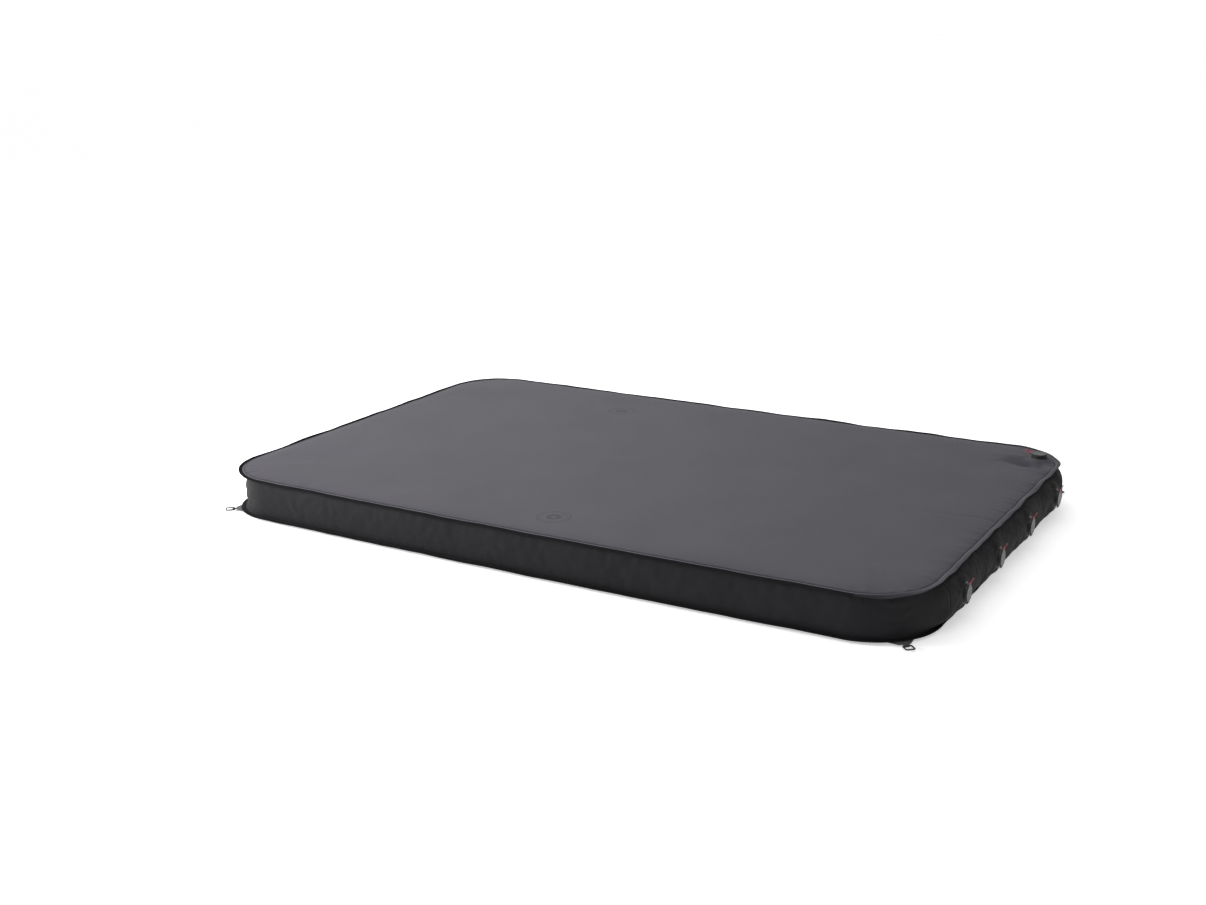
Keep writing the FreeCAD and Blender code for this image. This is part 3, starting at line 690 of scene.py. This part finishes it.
def fabric(name, colour, roughness, shine, weld_and_painted_light_depth=0.0, extra=None):
    """Laminated polyester: weave with slubs, slow mottling, the seam's tone with its painted highlight and
    painted shade and, on request, a print.
    """
    looks = bpy.context.scene.pad_fabric
    material, tree, shader = new_material(name)
    weave = use_group(tree, weave_group(), Pitch=looks.thread_pitch)
    mottle = use_group(tree, mottle_group(), Scale=6.0, Low=0.94, High=1.06)
    slub = math_node(tree, "MULTIPLY_ADD", weave.outputs["Slub"], 0.16, 0.92)
    thread = math_node(tree, "MULTIPLY_ADD", weave.outputs["Height"], 0.20, 0.90)
    tone = math_node(tree, "MULTIPLY", math_node(tree, "MULTIPLY", slub, thread), mottle.outputs["Value"])
    # the welded attribute darkens the seam margins, partly a darker weld and partly painted shade, and paints
    # a highlight on the crease and painted shade in the groove
    seam = tree.nodes.new("ShaderNodeAttribute")
    seam.attribute_name = "welded"
    weld_tone_and_painted_light = math_node(tree, "MULTIPLY_ADD", seam.outputs["Fac"], -weld_and_painted_light_depth, 1.0)
    tone = math_node(tree, "MULTIPLY", tone, weld_tone_and_painted_light)
    if extra:
        tone = extra(tree, tone)
    tree.links.new(scaled_colour(tree, colour, tone), shader.inputs["Base Color"])
    gloss = math_node(tree, "MULTIPLY_ADD", weave.outputs["Slub"], 0.14, roughness - 0.07)
    gloss = math_node(tree, "MULTIPLY_ADD", seam.outputs["Fac"], 0.12, gloss)
    tree.links.new(gloss, shader.inputs["Roughness"])
    shader.inputs["Specular IOR Level"].default_value = shine
    height = math_node(tree, "MULTIPLY_ADD", weave.outputs["Height"], 0.8, weave.outputs["Slub"])
    bump(tree, shader, height, 0.00022, 0.55)
    return material


def printed_rings(tree, tone):
    """A plain double ring printed tone on tone at two places on the top."""
    place = tree.nodes.new("ShaderNodeTexCoord")
    marks = None
    for x, y in ((0.028, -0.54), (-0.33, 0.43)):
        apart = tree.nodes.new("ShaderNodeVectorMath")
        apart.operation = "DISTANCE"
        flat = tree.nodes.new("ShaderNodeVectorMath")
        flat.operation = "MULTIPLY"
        flat.inputs[1].default_value = (1, 1, 0)
        tree.links.new(place.outputs["Object"], flat.inputs[0])
        tree.links.new(flat.outputs[0], apart.inputs[0])
        apart.inputs[1].default_value = (x, y, 0)
        for radius, half in ((0.042, 0.0016), (0.034, 0.0009), (0.013, 0.0060)):
            ring = math_node(tree, "COMPARE", apart.outputs["Value"], radius, half)
            marks = ring if marks is None else math_node(tree, "MAXIMUM", marks, ring)
    return math_node(tree, "MULTIPLY", tone, math_node(tree, "MULTIPLY_ADD", marks, -0.42, 1.0))


def moulded(name, colour, roughness, grain=0.00006, scale=900.0, metallic=0.0):
    """Injection-moulded plastic or plain metal with a fine grain and slight wear."""
    material, tree, shader = new_material(name)
    place = tree.nodes.new("ShaderNodeTexCoord")
    mottle = use_group(tree, mottle_group(), Scale=60.0, Low=0.90, High=1.12)
    tree.links.new(scaled_colour(tree, colour, mottle.outputs["Value"]), shader.inputs["Base Color"])
    rough = use_group(tree, mottle_group(), Scale=140.0, Low=roughness - 0.06, High=roughness + 0.08)
    tree.links.new(rough.outputs["Value"], shader.inputs["Roughness"])
    shader.inputs["Metallic"].default_value = metallic
    bump(tree, shader, noise_node(tree, place.outputs["Object"], scale, 2), grain, 0.6)
    return material


def foam_material():
    material, tree, shader = new_material("Open-cell foam")
    place = tree.nodes.new("ShaderNodeTexCoord")
    cells = tree.nodes.new("ShaderNodeTexVoronoi")
    cells.inputs["Scale"].default_value = 420
    tree.links.new(place.outputs["Object"], cells.inputs["Vector"])
    tone = math_node(tree, "MULTIPLY_ADD", cells.outputs["Distance"], 0.45, 0.72)
    tree.links.new(scaled_colour(tree, bpy.context.scene.pad_fabric.foam, tone), shader.inputs["Base Color"])
    shader.inputs["Roughness"].default_value = 0.95
    bump(tree, shader, cells.outputs["Distance"], 0.0012, 0.8)
    return material


def webbing_material():
    """Ribbed polyester webbing: ribs run across the strap."""
    material, tree, shader = new_material("Webbing")
    place = tree.nodes.new("ShaderNodeTexCoord")
    ribs = tree.nodes.new("ShaderNodeTexWave")
    ribs.bands_direction = "DIAGONAL"
    ribs.inputs["Scale"].default_value = 260
    ribs.inputs["Distortion"].default_value = 0.4
    tree.links.new(place.outputs["Object"], ribs.inputs["Vector"])
    tone = math_node(tree, "MULTIPLY_ADD", ribs.outputs["Fac"], 0.5, 0.7)
    colour = bpy.context.scene.pad_fabric.webbing
    tree.links.new(scaled_colour(tree, colour, tone), shader.inputs["Base Color"])
    shader.inputs["Roughness"].default_value = 0.78
    shader.inputs["Sheen Weight"].default_value = 0.25
    bump(tree, shader, ribs.outputs["Fac"], 0.0004, 0.7)
    return material


# ---------------------------------------------------------------- operators

def build_cover(name, shape, outline, height, flip, material, slot, node):
    """A top or bottom sheet out of rings, with its cloth map and its seam's tones."""
    insets = sheet_insets(shape)
    rows = []
    for inset in insets:
        points = outline.ring(inset)
        if inset < shape.margin:
            points = margin_ring(shape, outline, inset, not flip)[0]
        rows.append(np.column_stack([points, height(shape, outline, inset, points)]))
    vertices = np.concatenate(rows)
    piece = add_object(name, vertices, ring_faces(len(rows), outline.count, flip))
    set_values(piece, "welded", np.concatenate([seam_tone_and_painted_light(outline, inset) for inset in insets]))
    set_cloth_map(piece, vertices[:, 0], vertices[:, 1])
    close_middle(piece, len(vertices) - outline.count, len(vertices))
    return finish_piece(piece, "pad", slot, material, node)


class PAD_OT_top(bpy.types.Operator):
    """Build the top sheet with its welded margin, crown, puckers and lid valve hole"""
    bl_idname = "pad.top_sheet"
    bl_label = "Top sheet"

    def execute(self, context):
        shape, looks = context.scene.pad_shape, context.scene.pad_fabric
        outline = Outline(shape)
        # 0.88 applies the seam tones to the top: a darker weld with painted shade on the margin and in the
        #                                         groove, and a painted highlight on the crease
        cloth = fabric("Top fabric", looks.top, 0.66, 0.22, 0.88, printed_rings)
        piece = build_cover("top_panel", shape, outline, top_height, False, cloth, "top_fabric", "top_sheet")
        # the margin band away from the foot gets the wall's dark colour, partly a darker weld and partly
        # painted shade
        piece.data.materials.append(fabric("Welded margin", looks.wall, 0.8, 0.0))
        band = sum(inset <= DARK_MARGIN for inset in sheet_insets(shape)) - 1
        plain = foot_share(outline) < 0.02
        for row in range(band):
            for i in np.flatnonzero(plain):
                piece.data.polygons[row * outline.count + int(i)].material_index = 1
        cut_valve_holes(piece, [LID_VALVE])
        thicken(piece, shape.cloth)
        return {"FINISHED"}


class PAD_OT_bottom(bpy.types.Operator):
    """Build the bottom sheet, flat on the ground inside its welded margin"""
    bl_idname = "pad.bottom_sheet"
    bl_label = "Bottom sheet"

    def execute(self, context):
        shape, looks = context.scene.pad_shape, context.scene.pad_fabric
        outline = Outline(shape)
        # 0.2 applies the seam tones to the base: a darker weld with painted shade on the margin, and a
        #                                         painted highlight on the crease
        cloth = fabric("Base fabric", looks.wall, 0.66, 0.10, 0.2)
        piece = build_cover("bottom_panel", shape, outline, bottom_height, True, cloth, "base_fabric",
                            "bottom_sheet")
        thicken(piece, shape.cloth)
        return {"FINISHED"}


def wall_panel(name, shape, outline, rows, chosen, material, node):
    """The part of the wall between two places on the outline; chosen holds the quads' first indices."""
    count = outline.count
    faces = []
    for r in range(len(rows) - 1):
        for i in chosen:
            j = (i + 1) % count
            faces.append(((r + 1) * count + i, (r + 1) * count + j, r * count + j, r * count + i))
    vertices = np.concatenate(rows)
    steps = [np.linalg.norm(lower - upper, axis=1) for upper, lower in zip(rows, rows[1:])]
    down = np.cumsum([np.zeros(count)] + steps, axis=0)
    used = sorted({i for face in faces for i in face})
    place = {old: new for new, old in enumerate(used)}
    piece = add_object(name, vertices[used], [[place[i] for i in face] for face in faces])
    margin_rows = len(seam_insets(shape))
    # 1 on the margin rows, which hold the cloth and are darkened, partly a darker weld and partly painted
    # shade
    welded = np.zeros((len(rows), count))
    welded[:margin_rows] = 1
    welded[-margin_rows:] = 1
    set_values(piece, "welded", welded.ravel()[used])
    set_cloth_map(piece, np.tile(outline.along, len(rows))[used], down.ravel()[used], outline.length)
    return finish_piece(piece, "pad", "wall_fabric", material, node)


def wall_hold(piece, shape):
    """1 on a wall's margins, round its valves and along its joint with the next wall, and 0 between."""
    spots = np.array([vertex.co for vertex in piece.data.vertices])
    margin = np.zeros(len(spots))
    piece.data.attributes["welded"].data.foreach_get("value", margin)
    level = np.minimum(spots[:, 2] - SEAM_BOTTOM, TOP_FACE - SEAM_TOP - spots[:, 2])
    held = np.maximum(margin, smooth(level, 0.012, 0.004))
    joint = HALF_WIDTH - shape.corner_radius
    beside = np.abs(np.abs(spots[:, 1]) - joint)
    beside = beside + ELSEWHERE * (spots[:, 0] < HALF_LENGTH - shape.corner_radius / 2)
    held = np.maximum(held, smooth(beside, 0.02, 0.005))
    for name in WALL_VALVES:
        spot = VALVE_SPOTS[name]
        away = np.hypot(spots[:, 1] - spot.y, spots[:, 2] - spot.z)
        away = away + ELSEWHERE * (spots[:, 0] < HALF_LENGTH)
        held = np.maximum(held, smooth(away, VALVE_FLAT + 0.010, VALVE_FLAT + 0.002))
    return held


class PAD_OT_walls(bpy.types.Operator):
    """Build the side wall and the foot wall with their turned-out margins, folds and valve holes"""
    bl_idname = "pad.walls"
    bl_label = "Walls"

    def execute(self, context):
        shape, looks = context.scene.pad_shape, context.scene.pad_fabric
        outline = Outline(shape)
        rows = wall_rows(shape, outline)
        # 0.3 darkens the walls' margin rows along both seams, partly a darker weld and partly painted shade
        # at the junctions
        cloth = fabric("Wall fabric", looks.wall, 0.66, 0.08, 0.3)
        foot_first = LONG_COUNT + TURN_COUNT
        foot = range(foot_first, foot_first + SHORT_COUNT)
        side = [i for i in range(outline.count) if i not in foot]
        for name, chosen, node in (("side_panel", side, "side_wall"), ("foot_panel", foot, "foot_wall")):
            piece = wall_panel(name, shape, outline, rows, chosen, cloth, node)
            settle(piece, wall_hold(piece, shape))
            if name == "foot_panel":
                cut_valve_holes(piece, WALL_VALVES)
            thicken(piece, shape.cloth)
        return {"FINISHED"}


class PAD_OT_foam(bpy.types.Operator):
    """Build the foam core: a block with soft edges, hollowed under the lid valve and beside it"""
    bl_idname = "pad.foam_core"
    bl_label = "Foam core"

    def execute(self, context):
        shape = context.scene.pad_shape
        outline = Outline(shape)
        side, soft, low, high = 0.030, 0.012, 0.0030, TOP_FACE - 0.0045
        steps = [(k / 6) * math.pi / 2 for k in range(7)]
        spot = VALVE_SPOTS[LID_VALVE]
        recess_depth, recess_radius = 0.016, 0.030
        rings = [(side + soft * (1 - math.sin(a)), low + soft * (1 - math.cos(a))) for a in steps]
        rings += [(side + soft * (1 - math.cos(a)), high - soft * (1 - math.sin(a))) for a in steps]
        middle_insets = [i for i in sheet_insets(shape) if i > side + 0.02]
        rings = [(i, low) for i in middle_insets[::-1]] + rings + [(i, high) for i in middle_insets]
        rows = []
        for inset, level in rings:
            points = outline.ring(inset)
            height = np.full(outline.count, level)
            if level > TOP_FACE / 2:
                away = np.hypot(points[:, 0] - spot.x, points[:, 1] - spot.y)
                front = np.hypot((points[:, 0] - spot.x + 0.012) / 1.5, points[:, 1] - spot.y + 0.066)
                sunk = smooth(away, recess_radius + 0.010, recess_radius) * recess_depth
                sunk = np.maximum(sunk, smooth(front, 0.092, 0.045) * 1.4 * recess_depth)
                waves = 0.0006 * drift(*points.T, 0.3, shape.seed + 9) * smooth(inset, side, 0.1)
                height = height - sunk + waves
            rows.append(np.column_stack([points, height]))
        vertices = np.concatenate(rows)
        piece = add_object("foam_block", vertices, ring_faces(len(rows), outline.count))
        close_middle(piece, len(vertices) - outline.count, len(vertices))
        close_middle(piece, 0, outline.count)
        finish_piece(piece, "pad", "foam", foam_material(), "foam_core")
        return {"FINISHED"}


def turned_ring(name, spot, out, profile, segments=96):
    """A closed ring turned about an axis; profile is a closed outline of (radius, level) corners."""
    side = out.orthogonal().normalized()
    other = out.cross(side)
    vertices, faces = [], []
    for i in range(segments):
        angle = 2 * math.pi * i / segments
        arm = side * math.cos(angle) + other * math.sin(angle)
        vertices += [spot + arm * radius + out * level for radius, level in profile]
    size = len(profile)
    for i in range(segments):
        for k in range(size):
            a, b = i * size + k, i * size + (k + 1) % size
            c, d = ((i + 1) % segments) * size + (k + 1) % size, ((i + 1) % segments) * size + k
            faces.append((a, b, c, d))
    return add_object(name, vertices, faces)


def soften(piece, width, segments=2):
    edge = piece.modifiers.new("Soft edges", "BEVEL")
    edge.width = width
    edge.segments = segments
    edge.limit_method = "ANGLE"
    edge.angle_limit = math.radians(35)
    edge.use_clamp_overlap = True


def finish_node(name, finish, edge):
    """Give a node of the frame its material and, unless edge is 0, edges softened by that width."""
    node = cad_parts[name]
    for slot in node.material_slots:
        slot.material = finish
    if edge:
        soften(node, edge)


class PAD_OT_valves(bpy.types.Operator):
    """Finish the five valves and build the welded collar round each neck"""
    bl_idname = "pad.valves"
    bl_label = "Valves"

    def execute(self, context):
        looks = context.scene.pad_fittings
        black = moulded("Valve black", looks.black, 0.42)
        grey = moulded("Valve grey", looks.grey, 0.44)
        rubber = moulded("Seal rubber", looks.black, 0.72, grain=0.0001, scale=1500)
        red = moulded("Pull tab red", looks.red, 0.46)
        steel = moulded("Pin steel", looks.steel, 0.30, grain=0.00002, scale=2500, metallic=1.0)
        collar = moulded("Weld collar", looks.black, 0.52, grain=0.0002, scale=1300)
        finishes = {"base": (black, 0.0003), "plug": (grey, 0.0003), "seal": (rubber, 0),
                    "flap": (rubber, 0.0001), "cap": (black, 0.0003), "disc": (grey, 0.0001),
                    "plug_pin": (steel, 0.0001), "cap_pin": (steel, 0.0001), "tab": (red, 0.0004)}
        for name in VALVES:
            for part, (finish, edge) in finishes.items():
                finish_node(f"{name}_{part}", finish, edge)
            spot, out = valve_axis(name)
            inner, outer, top = NECK_RADIUS + 0.0002, NECK_RADIUS + 0.0065, 0.0009
            profile = [(inner, -0.0004), (inner, top), (outer - 0.0012, top), (outer - 0.0004, top * 0.6),
                       (outer, 0.0002), (outer, -0.0004)]
            weld = turned_ring(name + "_collar", spot, out, profile[::-1])
            finish_piece(weld, "pad", "valve_black", collar)
        return {"FINISHED"}


RING_BLACK = (0.006, 0.006, 0.0065)


class PAD_OT_corners(bpy.types.Operator):
    """Finish the four corner tabs and their rings"""
    bl_idname = "pad.corners"
    bl_label = "Corner tabs and rings"

    def execute(self, context):
        webbing = webbing_material()
        ring = moulded("Ring black", RING_BLACK, 0.50)
        for name in CORNERS:
            for part, finish, edge in (("tab", webbing, 0.0004), ("ring", ring, 0.0003)):
                finish_node(f"{name}_{part}", finish, edge)
        return {"FINISHED"}


# ---------------------------------------------------------------- stage

FLOOR_REACH = 60      # from the middle of the floor to its edges
FLOOR_DROP = 0.0005   # of the floor below the pad's underside
BACKDROP = (-0.506, 0.862, -0.25)  # direction in which the surround is brightest
CAMERA_PLACE = Vector((1.94602, -3.56418, 1.33166))
CAMERA_AIM = Vector((-0.3486, 0.3440, 0.006))
CAMERA_ROLL = -0.497  # degrees
# name, place, aim, width, length and the setting that holds its power
SOFTBOXES = (
    ("Key softbox", (-2.6, 2.4, 3.0), (0, 0, 0), 3.0, 3.0, "key"),
    ("Side softbox", (-3.0, -2.0, 1.2), (-0.9, -0.6, 0.06), 1.6, 1.0, "side"),
    ("Top softbox", (0.2, 0.2, 4.2), (0, 0, 0), 4.0, 3.0, "top_light"),
)


def area_light(name, place, aim, width, length, power):
    data = bpy.data.lights.new(name, "AREA")
    data.shape = "RECTANGLE"
    data.size, data.size_y = width, length
    data.energy = power
    light = bpy.data.objects.new(name, data)
    light.location = place
    light.rotation_euler = (Vector(aim) - Vector(place)).to_track_quat("-Z", "Y").to_euler()
    bpy.context.scene.collection.objects.link(light)


def lay_floor(studio):
    """A pale matt floor that gives a little light of its own."""
    far = FLOOR_REACH
    corners = [(-far, -far, 0), (far, -far, 0), (far, far, 0), (-far, far, 0)]
    floor = add_object("floor", corners, [(0, 1, 2, 3)])
    floor.location.z = -FLOOR_DROP
    material, tree, shader = new_material("Floor")
    place = tree.nodes.new("ShaderNodeTexCoord")
    grain = math_node(tree, "MULTIPLY_ADD", noise_node(tree, place.outputs["Object"], 3), 0.01, 0.995)
    tone = (studio.floor, studio.floor, studio.floor)
    tree.links.new(scaled_colour(tree, tone, grain), shader.inputs["Base Color"])
    shader.inputs["Roughness"].default_value = 0.9
    shader.inputs["Emission Color"].default_value = (1, 1, 1, 1)
    shader.inputs["Emission Strength"].default_value = studio.glow
    floor.data.materials.append(material)


def light_surround(scene, studio):
    """A white surround that lights the pad most from the backdrop and looks white from every side."""
    world = bpy.data.worlds.new("Surround")
    scene.world = world
    world.use_nodes = True
    tree = world.node_tree
    background = tree.nodes["Background"]
    background.inputs["Color"].default_value = (1, 1, 1, 1)
    place = tree.nodes.new("ShaderNodeTexCoord")
    behind = tree.nodes.new("ShaderNodeVectorMath")
    behind.operation = "DOT_PRODUCT"
    behind.inputs[1].default_value = BACKDROP
    tree.links.new(place.outputs["Generated"], behind.inputs[0])
    spread = tree.nodes.new("ShaderNodeMapRange")
    spread.inputs["From Min"].default_value = 0.50
    spread.inputs["From Max"].default_value = 0.84
    spread.inputs["To Min"].default_value = studio.surround * studio.shade
    spread.inputs["To Max"].default_value = studio.surround
    tree.links.new(behind.outputs["Value"], spread.inputs["Value"])
    path = tree.nodes.new("ShaderNodeLightPath")
    seen = math_node(tree, "MULTIPLY", path.outputs["Is Camera Ray"], studio.surround)
    tree.links.new(math_node(tree, "MAXIMUM", spread.outputs[0], seen), background.inputs["Strength"])


def place_camera(scene, studio):
    data = bpy.data.cameras.new("Camera")
    data.sensor_width = 36
    data.lens = studio.lens
    data.clip_end = 200
    camera = bpy.data.objects.new("Camera", data)
    turn = (CAMERA_AIM - CAMERA_PLACE).to_track_quat("-Z", "Y").to_matrix()
    turn = turn @ Matrix.Rotation(math.radians(CAMERA_ROLL), 3, "Z")
    camera.matrix_world = Matrix.Translation(CAMERA_PLACE) @ turn.to_4x4()
    scene.collection.objects.link(camera)
    scene.camera = camera


class PAD_OT_stage(bpy.types.Operator):
    """Lay the pale floor and set the soft studio lights and the camera"""
    bl_idname = "pad.stage"
    bl_label = "Stage"

    def execute(self, context):
        scene = context.scene
        studio = scene.pad_studio
        lay_floor(studio)
        light_surround(scene, studio)
        for name, place, aim, width, length, power in SOFTBOXES:
            area_light(name, place, aim, width, length, getattr(studio, power))
        place_camera(scene, studio)
        scene.view_settings.view_transform = "Standard"
        return {"FINISHED"}


OPERATORS = (PAD_OT_top, PAD_OT_bottom, PAD_OT_walls, PAD_OT_foam,
             PAD_OT_valves, PAD_OT_corners, PAD_OT_stage)


class PAD_PT_panel(bpy.types.Panel):
    """Sidebar panel with the pad's sizes, its looks and the buttons that build it"""
    bl_idname = "PAD_PT_panel"
    bl_label = "Sleeping pad"
    bl_space_type = "VIEW_3D"
    bl_region_type = "UI"
    bl_category = "Sleeping pad"

    def draw(self, context):
        for name, group in GROUPS.items():
            box = self.layout.box()
            for label in group.__annotations__:
                box.prop(getattr(context.scene, name), label)
        for operator in OPERATORS:
            self.layout.operator(operator.bl_idname)


CLASSES = (*GROUPS.values(), *OPERATORS, PAD_PT_panel)


def register():
    for item in CLASSES:
        bpy.utils.register_class(item)
    for name, group in GROUPS.items():
        setattr(bpy.types.Scene, name, PointerProperty(type=group))


def unregister():
    for name in GROUPS:
        delattr(bpy.types.Scene, name)
    for item in reversed(CLASSES):
        bpy.utils.unregister_class(item)


def main():
    register()
    bpy.ops.pad.top_sheet()
    bpy.ops.pad.bottom_sheet()
    bpy.ops.pad.walls()
    bpy.ops.pad.foam_core()
    bpy.ops.pad.valves()
    bpy.ops.pad.corners()
    bpy.ops.pad.stage()


if __name__ == "__main__":
    main()
